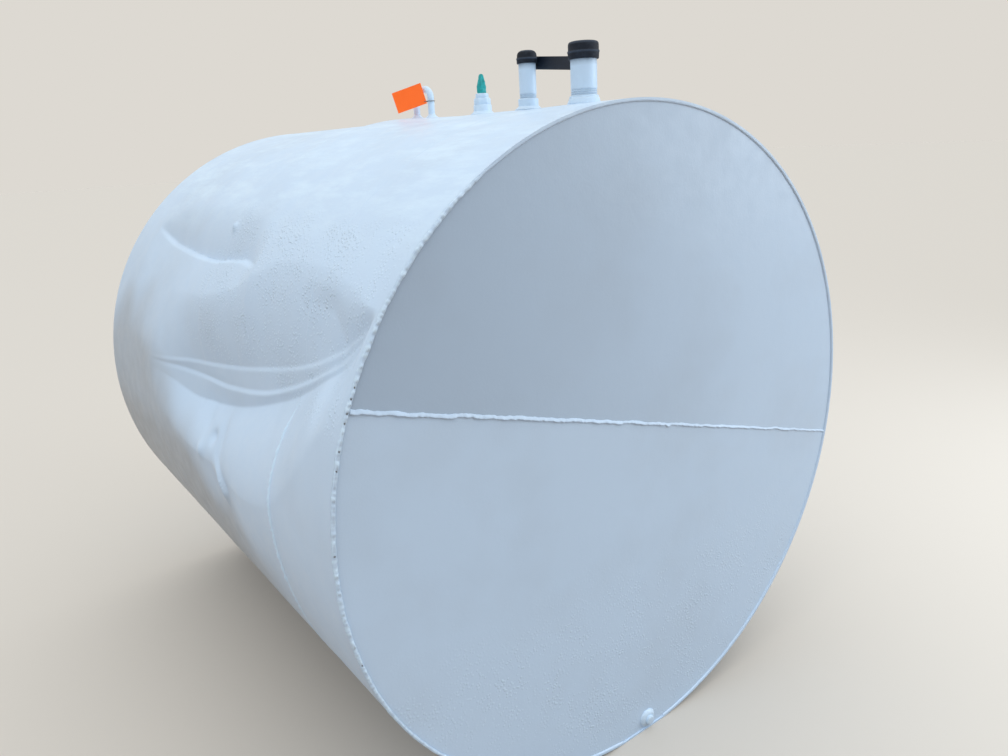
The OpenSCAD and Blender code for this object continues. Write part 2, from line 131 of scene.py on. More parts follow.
class DentSettings(bpy.types.PropertyGroup):
    first_crease: length("First crease", "Depth of the long side dent at its first crease", 70)
    second_crease: length("Second crease", "Depth of the long side dent at its second crease", 80)
    third_crease: length("Third crease", "Depth of the long side dent at its third crease", 84)
    upper_dent: length("Upper dent", "Depth of the upper dent at its lip", 36)


class StageSettings(bpy.types.PropertyGroup):
    lens: bpy.props.FloatProperty(name="Lens", description="Focal length of the camera", default=27.46,
        unit="CAMERA")
    sky: bpy.props.FloatProperty(name="Sky", description="Strength of the even light from above", default=1.0)
    lamp: bpy.props.FloatProperty(name="Right lamp", description="Watts of the soft lamp to the right",
        default=57.0)
    low_lamp: bpy.props.FloatProperty(name="Low lamp", description="Watts of the low lamp to the left",
        default=3.0)


# Helpers

def mesh_piece(name, points, faces, nodes, coat=None, slot="white_enamel", sharp=None, **painted):
    """Makes a piece from points in millimetres, rides it on the tank and puts it in the place of its nodes.

    It is enamelled if no coat is given. The numbers in painted are stored for the material to read.
    """
    mesh = bpy.data.meshes.new(name)
    mesh.from_pydata([tuple(p) for p in np.asarray(points, float) * MM], [], faces)
    mesh.validate()
    mesh.polygons.foreach_set("use_smooth", [True] * len(mesh.polygons))
    if sharp is not None:
        mesh.set_sharp_from_angle(angle=math.radians(sharp))
    mesh.materials.append(coat or enamel())
    piece = bpy.data.objects.new(name, mesh)
    bpy.context.scene.collection.objects.link(piece)
    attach(piece, "root")
    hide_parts(*nodes)
    for layer, values in painted.items():
        paint(piece, layer, np.broadcast_to(values, len(points)))
    return piece


def paint(piece, name, values):
    """Stores one number a point for the material to read."""
    layer = piece.data.attributes.new(name, "FLOAT", "POINT")
    layer.data.foreach_set("value", np.asarray(values, np.float32))


def grid_faces(rows, columns, closed=False, flip=False):
    """Quads over a grid of points, row by row, with the columns joined in a ring if closed."""
    faces = []
    for i in range(rows - 1):
        for j in range(columns if closed else columns - 1):
            k = (j + 1) % columns
            quad = (i * columns + j, i * columns + k, (i + 1) * columns + k, (i + 1) * columns + j)
            faces.append(quad[::-1] if flip else quad)
    return faces


def tube_faces(rings, columns):
    """Faces of a tube of rings with both its ends closed."""
    ends = [tuple(range(columns))[::-1], tuple((rings - 1) * columns + k for k in range(columns))]
    return grid_faces(rings, columns, closed=True) + ends


def sheet_faces(rows, columns, flip=False):
    """Faces of a closed sheet: a grid of points, the same grid behind it, and the edge between the two."""
    n = rows * columns
    front = grid_faces(rows, columns, flip=flip)
    edge = list(range(columns)) + [j * columns + columns - 1 for j in range(1, rows)]
    edge += [(rows - 1) * columns + k for k in range(columns - 2, -1, -1)]
    edge += [j * columns for j in range(rows - 2, 0, -1)]
    if flip:
        edge.reverse()
    back = [tuple(n + k for k in quad[::-1]) for quad in front]
    return front + back + [(a, n + a, n + b, b) for a, b in zip(edge, edge[1:] + edge[:1])]


def flow(x, xs, ys):
    """Smooth curve through points, level at their highs and lows."""
    xs, ys = np.asarray(xs, float), np.asarray(ys, float)
    h = np.diff(xs)
    d = np.diff(ys) / h
    m = np.zeros(len(xs))
    rising = d[1:] * d[:-1] > 0
    w1, w2 = 2 * h[1:] + h[:-1], h[1:] + 2 * h[:-1]
    safe = np.where(rising, d[:-1] * d[1:], 1)
    mean = (w1 + w2) * safe / (w1 * np.where(rising, d[1:], 1) + w2 * np.where(rising, d[:-1], 1))
    m[1:-1] = np.where(rising, mean, 0)
    m[0], m[-1] = d[0], d[-1]
    x = np.clip(x, xs[0], xs[-1])
    i = np.clip(np.searchsorted(xs, x) - 1, 0, len(h) - 1)
    t = (x - xs[i]) / h[i]
    return ((1 + 2 * t) * (1 - t) ** 2 * ys[i] + t * (1 - t) ** 2 * h[i] * m[i]
        + t * t * (3 - 2 * t) * ys[i + 1] + t * t * (t - 1) * h[i] * m[i + 1])


def ease(t):
    """0 up to t = 0 and 1 from t = 1, with a smooth step between."""
    t = np.clip(t, 0, 1)
    return t * t * (3 - 2 * t)


def window(x, low, high, soft_low, soft_high):
    """1 between low and high, and 0 beyond the soft edges."""
    return ease((x - low + soft_low) / soft_low) * ease((high + soft_high - x) / soft_high)


def bell(x, middle, half):
    """1 at the middle, falling to about a third at half a width from it."""
    return np.exp(-((x - middle) / half) ** 2)


def ripple(points, scale, seed):
    """Smooth noise, about -1 to 1, with bumps about as many millimetres across as the scale."""
    shift = Vector((seed * 17.3, seed * 5.1, seed * 9.7))
    return np.array([noise.noise(Vector(p) / scale + shift) for p in points])


# The dented shell
# y runs from the front rim and s round the shell from the crown down the left side, both in millimetres.

# Where the long side dent starts, its creases, and where it ends, as (y, s)
DENT_TOP = ([20, 60, 127, 203, 260, 340, 427, 523, 625, 737, 867, 980, 1100, 1260],
    [782, 776, 752, 738, 728, 722, 722, 730, 770, 820, 852, 874, 880, 900])
CREASE_A = ([20, 29, 107, 188, 288, 399, 561, 696, 910, 1038, 1199, 1290],
    [796, 802, 843, 884, 923, 953, 989, 1016, 1049, 1064, 1088, 1096])
CREASE_B = ([20, 32, 100, 155, 224, 334, 449, 560, 699, 845, 985, 1102, 1177, 1290],
    [803, 811, 856, 895, 932, 977, 1018, 1051, 1077, 1094, 1098, 1100, 1106, 1112])
CREASE_C = ([20, 34, 103, 166, 260, 359, 510, 636, 777, 895, 991, 1060, 1122, 1290],
    [815, 825, 886, 925, 974, 1018, 1073, 1115, 1149, 1167, 1172, 1164, 1150, 1135])
DENT_FOOT = ([20, 60, 120, 220, 350, 560, 780, 1000, 1260],
    [880, 980, 1075, 1180, 1270, 1310, 1300, 1290, 1240])

# Round dimples, and bulges where the depth is negative: y, s, depth, half length, half width, and how far the
# long way leans toward the front as it goes down
DIMPLES = ((735, 1225, 9, 30, 52, 0.6), (860, 1212, 6, 34, 30, 0.4), (790, 1236, 13, 18, 20, 0),
    (848, 1278, -8, 18, 22, 0), (740, 1320, 13, 130, 90, 0), (971, 1504, 5, 20, 22, 0),
    (955, 664, -8, 20, 12, 0))
# How far the little sharp-edged bulge stands out
PINCH = 14


def between_lines(s, lines, depths, powers):
    """Depth between lines of s that lie one under another. A power under 0 falls fast and then eases out."""
    total = np.zeros_like(s)
    for k, power in enumerate(powers):
        t = (s - lines[k]) / np.maximum(lines[k + 1] - lines[k], 1)
        inside = (t >= 0) & (t < 1)
        t = np.clip(t, 0, 1)
        step = 1 - (1 - t) ** -power if power < 0 else t ** power
        total = np.where(inside, depths[k] + (depths[k + 1] - depths[k]) * step, total)
    return total


def side_dent(y, s):
    """The long dent: its flank falls in three folds, with thin steps back out, and rises to its foot."""
    dents = bpy.context.scene.tank_dents
    reach = flow(y, [8, 45, 95, 200, 290, 400, 560, 900, 1020, 1120, 1290],
        [0, 0.14, 0.32, 0.58, 0.77, 0.92, 1, 0.92, 0.72, 0.42, 0])
    # The third crease fades out toward the rear
    third_share = ease((1010 - y) / 130)
    top, first, second, third, foot = [flow(y, *line)
        for line in (DENT_TOP, CREASE_A, CREASE_B, CREASE_C, DENT_FOOT)]
    first_deep, second_deep, third_deep = [deep / MM * reach
        for deep in (dents.first_crease, dents.second_crease, dents.third_crease)]
    back_out = second_deep * 0.93
    lines = [top, first, first + 11, second, second + 12, third, foot]
    depths = [0, first_deep, first_deep * 0.972, second_deep, back_out,
        back_out + (third_deep - back_out) * third_share, 0]
    return between_lines(s, lines, depths, [1.35, 1, 1, 1, 1, -1.45])


def shoulder(y, s):
    """The steep notch at the front end of the long dent's upper edge, beside the rim."""
    reach = flow(y, [12, 50, 120, 210, 300, 380], [0, 0.8, 1, 1, 0.5, 0])
    start = flow(y, [40, 130, 210, 300], [778, 772, 757, 750])
    run = flow(y, [40, 130, 210, 300], [42, 105, 52, 56])
    deep = 13 - 4 * ease((y - 130) / 80)
    return deep * reach * ease((s - start) / run) * ease((start + run + 190 - s) / 150)


def upper_dent(y, s):
    """The short dent above: a flank that steepens down to a crisp lip, and a slow run out below it."""
    dents = bpy.context.scene.tank_dents
    reach = flow(y, [655, 695, 740, 830, 930, 1130, 1380, 1490, 1550, 1620],
        [0, 0.3, 0.62, 0.86, 0.95, 1, 0.92, 0.66, 0.4, 0])
    top = flow(y, [640, 720, 850, 1000, 1300, 1500, 1620], [690, 640, 606, 598, 600, 630, 680])
    lip = flow(y, [640, 720, 800, 900, 1000, 1110, 1210, 1320, 1430, 1515, 1620],
        [758, 750, 742, 750, 759, 760, 756, 749, 741, 727, 705])
    deep = dents.upper_dent / MM * reach
    return between_lines(s, [top, lip, lip + 15, lip + 330], [0 * deep, deep, deep * 0.6, 0 * deep],
        [1.55, 1, -1.2])


def pinch(y, s):
    """The little bulge low on the side, sharp toward the front, from 0 beside it to 1 on its crest."""
    edge = flow(s, [1225, 1237, 1276, 1319, 1345], [790, 782, 741, 690, 665])
    return bell(s, 1330, 40) * bell(y, edge, np.where(y > edge, 40, 7))


def small_dents(y, s):
    """The dimples and bulges low on the side, under the long dent, and the knuckle in the upper dent."""
    total = -PINCH * pinch(y, s)
    for y0, s0, deep, half_y, half_s, lean in DIMPLES:
        total = total + deep * bell(y, y0, half_y) * bell(s - (y0 - y) * lean, s0, half_s)
    return total


def crown_lift(y, angle):
    """The middle course's crown, pulled up toward its rear seam as a tilted and slightly rounder barrel."""
    # Length of the rise before the seam, and how much smaller the lifted barrel's radius is
    run, slack = 300, 1
    up = slack + (y - (SEAM2 - run)) * CROWN_LIFT / run
    small = TANK_R - slack
    lifted = up * np.cos(angle) + np.sqrt(np.maximum(small ** 2 - (up * np.sin(angle)) ** 2, 1)) - TANK_R
    inside = (y >= SEAM1) & (y <= SEAM2) & (np.abs(angle) < math.pi / 2)
    return np.where(inside, np.maximum(lifted, 0), 0)


def shell_radius(y, angle):
    """Radius of the shell's outside at y and an angle from the crown to the left."""
    s = angle * TANK_R
    dent = np.where(s > 0, side_dent(y, s) + upper_dent(y, s) + shoulder(y, s) + small_dents(y, s), 0)
    sag = 2 * bell(y, SEAM1, 70) * bell(s, 0, 420)
    # The heads hold both rims round
    held = ease((y - 6) / 22) * ease((TANK_L - 6 - y) / 40)
    flat = np.stack([y, TANK_R * np.sin(angle), TANK_R * np.cos(angle)], 1)
    wave = (ripple(flat, 230, 1) - 0.45) * 0.9 * held
    return TANK_R + crown_lift(y, angle) - (dent + sag) * held - np.abs(wave) * 0.8


def shell_point(y, angle, radius):
    """Places points on the shell, with the strip it rests on pressed flat."""
    return np.stack([-radius * np.sin(angle), RIM_Y + y, np.maximum(AXIS_Z + radius * np.cos(angle), 0)], 1)


def off_shell(angle):
    """Unit vectors straight off the shell."""
    return np.stack([-np.sin(angle), angle * 0, np.cos(angle)], 1)


def shell_angles():
    """Angles round the shell from the crown, up to half a turn, closer together on the dented side."""
    spans = ((20, 46, 0.6), (46, 93, 0.27), (93, 112, 0.5), (112, 380, 1.6))
    angles = np.radians(np.concatenate([np.arange(*span) for span in spans]))
    return np.where(angles > math.pi, angles - 2 * math.pi, angles)


def dust_and_shade(points):
    """Share of dust thrown up from the ground, which lies higher up toward the rear and on the left. It also
    stands for painted shade there, with the brown of the ground's bounce and reflection.
    """
    x, y, z = points[:, 0], points[:, 1] - RIM_Y, points[:, 2]
    left = ease((200 - x) / 400)
    splash = 400 * ease((y - 700) / 900) * left
    line = 480 + 310 * left + splash + 110 * ripple(points, 170, 81)
    share = (0.58 - 0.19 * ease((z - 700) / 150)) * (1 + 0.12 * ripple(points, 45, 82)) * (0.6 + 0.4 * left)
    return ease((line - z) / 200) * ease((y - 150) / 700) * share


def course(name, node_name, start, end, step):
    """One course of the shell, as a closed plate of even thickness."""
    angles = shell_angles()
    rows = np.linspace(start, end, int(round((end - start) / step)) + 1)
    n = len(angles)
    y = np.repeat(rows, n)
    angle = np.tile(angles, len(rows))
    radius = shell_radius(y, angle)
    outer = shell_point(y, angle, radius)
    inner = shell_point(y, angle, radius - PLATE)
    inner[:, 2] = np.maximum(inner[:, 2], PLATE)
    count = len(outer)
    faces = grid_faces(len(rows), n, closed=True)
    faces += [tuple(count + k for k in quad[::-1]) for quad in faces]
    last = count - n
    for j in range(n):
        k = (j + 1) % n
        faces.append((j, count + j, count + k, k))
        faces.append((last + k, count + last + k, count + last + j, last + j))
    # Dry spray over the long dent, and in a streak that runs down and back from it
    s = angle * TANK_R
    rough = window(y, 60, 900, 60, 200) * window(s, 640, 1010, 80, 40)
    streak = bell(y, 1000 - (s - 850) * 0.6, 60) * window(s, 760, 1010, 60, 60)
    # The dust film also holds painted shade toward the rear left
    mesh_piece(name, np.concatenate([outer, inner]), faces, [node_name], sharp=50,
        rough=np.tile(np.clip(rough + streak, 0, 1), 2), film=np.tile(dust_and_shade(outer), 2),
        sprayed=np.tile(ease((760 - np.abs(s)) / 260), 2))


# Weld beads

def bead(name, node_name, path, outward, side, width, height, seed, wander=0.6, pits=(), sink=1.5,
         fullness=0.6, lumps=0.25, fresh=0.0):
    """Lays an irregular weld bead along a path of points in millimetres.

    outward and side are unit vectors at each point: off the plate, and across the bead. pits are shares of
    the path, wander a share of the width, and a low fullness makes a flatter back.
    """
    rng = random.Random(seed)
    n = len(path)
    path, outward, side = (np.asarray(v, float) for v in (path, outward, side))
    run = np.concatenate([[0], np.cumsum(np.linalg.norm(np.diff(path, axis=0), axis=1))])
    spots = np.stack([run, run * 0, run * 0], 1)
    width, height, lumps, fresh = (np.broadcast_to(v, n) for v in (width, height, lumps, fresh))
    wide = width * (1 + 0.22 * ripple(spots, 26, seed) + 0.16 * ripple(spots, 9, seed + 1))
    high = height * (1 + 0.25 * ripple(spots, 18, seed + 2) + lumps * ripple(spots, 7, seed + 3))
    shift = width * wander * 0.25 * (ripple(spots, 60, seed + 4) + 0.5 * ripple(spots, 15, seed + 5))
    pit = np.zeros(n)
    for place in pits:
        k = int(place * (n - 1)) + rng.randrange(-2, 3)
        pit[k] = 1
        high[k] *= 0.2
    columns = 9
    points, dark = [], []
    for k in range(n):
        for t in np.linspace(-1, 1, columns):
            # Round on its back, running out tangent to the plate
            up = high[k] * (0.5 + 0.5 * math.cos(math.pi * t)) ** fullness if abs(t) < 1 else -sink
            points.append(path[k] + side[k] * (shift[k] + wide[k] * t / 2) + outward[k] * up)
            dark.append(pit[k] if abs(t) < 0.4 else 0)
    points = np.array(points)
    crust = ripple(points, 5, seed + 6) * np.repeat(height, columns) * 0.3
    points = points + np.repeat(outward, columns, axis=0) * crust[:, None]
    # No bead goes down into the floor
    points[:, 2] = np.maximum(points[:, 2], 0)
    # The bead's dust film also holds painted shade
    mesh_piece(name, points, tube_faces(n, columns), [node_name], pit=dark, film=dust_and_shade(points),
        fresh=np.repeat(fresh, columns))


# Turned and bent pieces

def round_box(name, axis="Z"):
    """Centre, radius and the two ends of a round node along the axis, in millimetres."""
    low, high = box_mm(name)
    middle = (low + high) / 2
    if axis == "-Y":
        return np.array([middle[0], 0, middle[2]]), (high[0] - low[0]) / 2, -high[1], -low[1]
    return np.array([middle[0], middle[1], 0]), (high[0] - low[0]) / 2, low[2], high[2]


def ring_points(profile, segments=96):
    """Points of a round form, ring by ring, from its radii and heights."""
    angles = [2 * math.pi * k / segments for k in range(segments)]
    return np.array([(r * math.cos(a), r * math.sin(a), h) for r, h in profile for a in angles])


def turned(name, node_name, profile, centre, wobble, seed, scale, sharp=None, axis="Z", **finish):
    """Turns a profile of (radius, height) in millimetres round an axis at centre, not quite true."""
    points = ring_points(profile)
    away = points * (1, 1, 0)
    reach = np.linalg.norm(away, axis=1)
    # The smallest ring, in the middle of an end, stays true
    push = ripple(points, scale, seed) * wobble * (reach > 0.5) / reach
    points = points + away * push[:, None]
    if axis == "-Y":
        points = np.stack([points[:, 0], -points[:, 2], points[:, 1]], 1)
    return mesh_piece(name, points + centre, tube_faces(len(profile), 96), [node_name], sharp=sharp,
        fresh=FITTING_COAT, **finish)


def rod(path, radius, segments):
    """Points and faces of a round bar along a path."""
    path = [Vector(p) for p in path]
    points = []
    side = (path[1] - path[0]).normalized().orthogonal().normalized()
    for k, p in enumerate(path):
        ahead = (path[min(k + 1, len(path) - 1)] - path[max(k - 1, 0)]).normalized()
        side = (side - ahead * side.dot(ahead)).normalized()
        other = ahead.cross(side)
        for j in range(segments):
            a = 2 * math.pi * j / segments
            points.append(p + (side * math.cos(a) + other * math.sin(a)) * radius)
    return np.array([tuple(p) for p in points]), tube_faces(len(path), segments)


# Materials

def node(tree, kind, inputs=(), **settings):
    """Adds a node, sets its properties and its inputs, and links what feeds it.

    An input takes a value, a socket, or a node, whose first output in use then feeds it.
    """
    made = tree.nodes.new("ShaderNode" + kind)
    for key, value in settings.items():
        if hasattr(made, key):
            setattr(made, key, value)
        else:
            made.inputs[key.replace("_", " ")].default_value = value
    for key, source in dict(inputs).items():
        if isinstance(source, bpy.types.Node):
            source = next(out for out in source.outputs if out.enabled)
        if isinstance(source, bpy.types.NodeSocket):
            tree.links.new(source, made.inputs[key])
        else:
            made.inputs[key].default_value = source
    return made


def material(name):
    """A new material with its empty node tree, or one made before and no tree."""
    made = bpy.data.materials.get(name)
    if made:
        return made, None
    made = bpy.data.materials.new(name)
    made.use_nodes = True
    made.node_tree.nodes.clear()
    return made, made.node_tree


def enamel():
    """Alkyd enamel, sprayed on steel plate: semi-gloss, with orange peel, runs, dry spray and a little chalk.

    The eye sees a cool white that goes blotchy where the spray ran dry, and soft long highlights. Its colour
    also holds painted shade, painted highlights on beads and painted glints on the dry spray.
    """
    made, tree = material("sprayed_white_enamel")
    if tree is None:
        return made
    looks = bpy.context.scene.tank_finish
    where = node(tree, "TexCoord").outputs["Object"]
    # Painted on the pieces: dust and thin coats that also hold painted shade, fresh coats that also hold
    # painted highlights, dry spray, gun passes, pinholes, and soot that also holds painted shade
    film, thin_coat, fresh, rough, sprayed, pit, soot = [
        node(tree, "Attribute", attribute_name=name).outputs["Fac"]
        for name in ("film", "thin_coat", "fresh", "rough", "sprayed", "pit", "soot")]
    # Blotches of thin and thick paint, about 300 mm and 40 mm across
    broad = node(tree, "TexNoise", {"Vector": where}, Scale=3.3, Detail=3.0, Roughness=0.55)
    fine = node(tree, "TexNoise", {"Vector": where}, Scale=25.0, Detail=4.0, Roughness=0.6)
    chalk = node(tree, "MapRange", {0: broad}, From_Min=0.45, From_Max=0.75, To_Max=0.10)
    # Dry spray: white grains 3 mm across, drawn 8 mm apart so that they show, in patches of 110 mm. Their
    # white is also a painted glint of the sky.
    cells = node(tree, "TexVoronoi", {"Vector": where}, Scale=120.0, Randomness=1.0)
    grain = node(tree, "MapRange", {0: cells}, interpolation_type="SMOOTHSTEP", From_Min=0.12, From_Max=0.44,
        To_Min=1.0, To_Max=0.0)
    clouds = node(tree, "TexNoise", {"Vector": where}, Scale=9.0, Detail=4.0, Roughness=0.75)
    thin = node(tree, "MapRange", {0: clouds}, From_Min=0.40, From_Max=0.62)
    patch = node(tree, "Math", {0: rough, 1: thin}, operation="MULTIPLY")
    speck_and_glint = node(tree, "Math", {0: grain, 1: patch}, operation="MULTIPLY")
    # Passes of the spray gun, whiter where they overlap: streaks 60 mm wide and four times as long
    aim = node(tree, "Mapping", {"Vector": where, "Rotation": (0, 0, 0.35), "Scale": (1.0, 0.28, 1.0)})
    passes = node(tree, "TexNoise", {"Vector": aim}, Scale=15.0, Detail=6.0, Roughness=0.7)
    lap = node(tree, "MapRange", {0: passes}, From_Min=0.46, From_Max=0.66, To_Max=0.9)
    laps = node(tree, "Math", {0: sprayed, 1: lap}, operation="MULTIPLY")
    thick_and_lit = node(tree, "Math", {0: fresh, 1: laps}, operation="MAXIMUM")
    white = node(tree, "Math", {0: thick_and_lit, 1: speck_and_glint}, operation="MAXIMUM")
    sooty_and_shaded = node(tree, "Math", {0: soot, 1: fine}, operation="MULTIPLY")
    # What lies on the enamel, one over another, painted shade and painted highlights among it
    tone = (*looks.enamel, 1)
    for share, over in ((chalk, looks.grime_and_shade), (film, looks.grime_and_shade), (thin_coat, looks.primer_and_shade),
                        (white, looks.fresh), (pit, looks.rust), (sooty_and_shaded, looks.soot)):
        tone = node(tree, "Mix", {0: share, 6: tone, 7: (*over, 1)}, data_type="RGBA")
    gloss = node(tree, "MapRange", {0: fine}, From_Min=0.3, From_Max=0.7, To_Min=0.34, To_Max=0.5)
    # Orange peel, 2 mm on the real paint and drawn 5 mm so that it shows, on flatter runs 40 mm across
    peel = node(tree, "TexNoise", {"Vector": where}, Scale=200.0, Detail=2.0, Roughness=0.5)
    runs = node(tree, "TexNoise", {"Vector": where}, Scale=30.0, Detail=2.0, Roughness=0.5)
    bump = node(tree, "Bump", {"Height": runs}, Strength=0.35, Distance=0.0012)
    bump = node(tree, "Bump", {"Height": peel, "Normal": bump}, Strength=0.35, Distance=0.0005)
    bump = node(tree, "Bump", {"Height": grain, "Normal": bump, "Strength": patch}, Distance=0.0018)
    shader = node(tree, "BsdfPrincipled", {"Base Color": tone, "Roughness": gloss, "Normal": bump}, IOR=1.5)
    node(tree, "OutputMaterial", {"Surface": shader})
    return made


def black_iron():
    """Malleable iron caps, cast and brushed black, then weathered: matte, with grey on the worn edges that is
    also a painted highlight.
    """
    made, tree = material("weathered_black_malleable_iron")
    if tree is None:
        return made
    looks = bpy.context.scene.tank_finish
    where = node(tree, "TexCoord").outputs["Object"]
    # Faded blotches, about 17 mm across
    broad = node(tree, "TexNoise", {"Vector": where}, Scale=60.0, Detail=5.0, Roughness=0.65)
    fade = node(tree, "MapRange", {0: broad}, From_Min=0.45, From_Max=0.8, To_Max=0.22)
    # Worn grey on the ridge and top edge, also a painted highlight
    worn = node(tree, "Attribute", attribute_name="worn").outputs["Fac"]
    edges = node(tree, "Math", {0: fade, 1: worn}, operation="MAXIMUM")
    tone = node(tree, "Mix", {0: edges, 6: (*looks.iron, 1), 7: (*looks.iron_edge, 1)}, data_type="RGBA")
    # Sand casting grain, 0.8 mm on the real caps and drawn 2 mm so that it shows
    grain = node(tree, "TexNoise", {"Vector": where}, Scale=500.0, Detail=3.0)
    bump = node(tree, "Bump", {"Height": grain}, Strength=0.4, Distance=0.0006)
    # Old brushed paint has lost most of its gloss
    shader = node(tree, "BsdfPrincipled", {"Base Color": tone, "Normal": bump, "Specular IOR Level": 0.3},
        Roughness=0.6, IOR=1.5)
    node(tree, "OutputMaterial", {"Surface": shader})
    return made


def flat_paint(name, setting, roughness, blotches, depth, darker, painted_glow=0.0):
    """A brushed or dipped coat of paint, with that many soft blotches to a metre and a grain six times finer,
    and a painted glow in its own colour where one is given.
    """
    made, tree = material(name)
    if tree is None:
        return made
    tint = getattr(bpy.context.scene.tank_finish, setting)
    where = node(tree, "TexCoord").outputs["Object"]
    broad = node(tree, "TexNoise", {"Vector": where}, Scale=blotches, Detail=4.0, Roughness=0.6)
    fade = node(tree, "MapRange", {0: broad}, From_Min=0.3, From_Max=0.7)
    tone = node(tree, "Mix", {0: fade, 6: (*[c * darker for c in tint], 1), 7: (*tint, 1)}, data_type="RGBA")
    grain = node(tree, "TexNoise", {"Vector": where}, Scale=6 * blotches, Detail=3.0)
    bump = node(tree, "Bump", {"Height": grain}, Strength=0.5, Distance=depth * MM)
    shader = node(tree, "BsdfPrincipled", {"Base Color": tone, "Normal": bump, "Emission Color": (*tint, 1),
        "Emission Strength": painted_glow}, Roughness=roughness, IOR=1.5)
    node(tree, "OutputMaterial", {"Surface": shader})
    return made


def recoat(node_name, coat):
    """Gives a node that keeps its own shape a better material."""
    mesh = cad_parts[node_name].data
    mesh.materials.clear()
    mesh.materials.append(coat)


# Operators

class TANK_OT_shell(bpy.types.Operator):
    """Makes the three courses of the dented shell"""
    bl_idname = "tank.shell"
    bl_label = "Shell courses"

    def execute(self, context):
        course("front_course_plate", "front_shell_course", 0, SEAM1, 8)
        course("middle_course_plate", "middle_shell_course", SEAM1, SEAM2, 8)
        course("rear_course_plate", "rear_shell_course", SEAM2, TANK_L, 12)
        return {"FINISHED"}


def head_seam(node_name, y0):
    """Ends of a head's seam, from the box of its bead."""
    low, high = box_mm(node_name)
    half_bead = 4.5
    return (np.array([low[0], RIM_Y + y0, high[2] - half_bead]),
        np.array([high[0], RIM_Y + y0, low[2] + half_bead]))


def head_dish(x, z):
    """How far a head's plate has been drawn in by its welds, with slow waves."""
    far = np.clip(np.hypot(x, z - AXIS_Z) / HEAD_R, 0, 1)
    wave = ripple(np.stack([x, x * 0, z], 1), 260, 61)
    return (1 - far ** 2) * (7 + 2.2 * wave)


def head_plate(name, node_name, seam, y0, way, upper):
    """One plate of a head: its arc, its straight edge at the seam and its thickness, drawn in a little."""
    left, right = head_seam(seam, y0)
    along = (right - left) / np.linalg.norm(right - left)
    up = np.array([-along[2], 0, along[0]])
    centre = np.array([0, RIM_Y + y0, AXIS_Z])
    rows, columns = 64, 96
    seam_angle = math.acos(float((left - centre) @ up) / HEAD_R)
    front = []
    for t in np.linspace(seam_angle, 0.0 if upper else math.pi, rows):
        v, half = HEAD_R * math.cos(t), max(HEAD_R * math.sin(t), 0.5)
        front += [centre + along * u + up * v for u in np.linspace(-half, half, columns)]
    front = np.array(front)
    front[:, 2] = np.maximum(front[:, 2], 1.0)
    front[:, 1] -= way * head_dish(front[:, 0], front[:, 2])
    low, high = box_mm(node_name)
    back = front - np.array([0, way * (high[1] - low[1]), 0])
    # Dry spray low on the lower plate, and on the upper one a thin coat that also paints shade, darkest at
    # its left
    rough = 0.55 * ease((AXIS_Z - 150 - front[:, 2]) / 350)
    thin = flow(front[:, 0], [-750, 0, 450, 750], [0.46, 0.2, 0.03, 0])
    mesh_piece(name, np.concatenate([front, back]), sheet_faces(rows, columns, flip=upper == (way < 0)),
        [node_name], sharp=50, rough=np.tile(rough * (not upper), 2), thin_coat=np.tile(thin * upper, 2))


class TANK_OT_heads(bpy.types.Operator):
    """Makes the four plates of the two flat heads"""
    bl_idname = "tank.heads"
    bl_label = "Heads"

    def execute(self, context):
        for end, y0, way in (("front", HEAD_Y, -1), ("rear", REAR_HEAD_Y, 1)):
            for part in ("upper", "lower"):
                head_plate(f"{end}_head_{part}", f"{end}_head_{part}_plate", f"{end}_head_seam_weld", y0, way,
                    part == "upper")
        return {"FINISHED"}


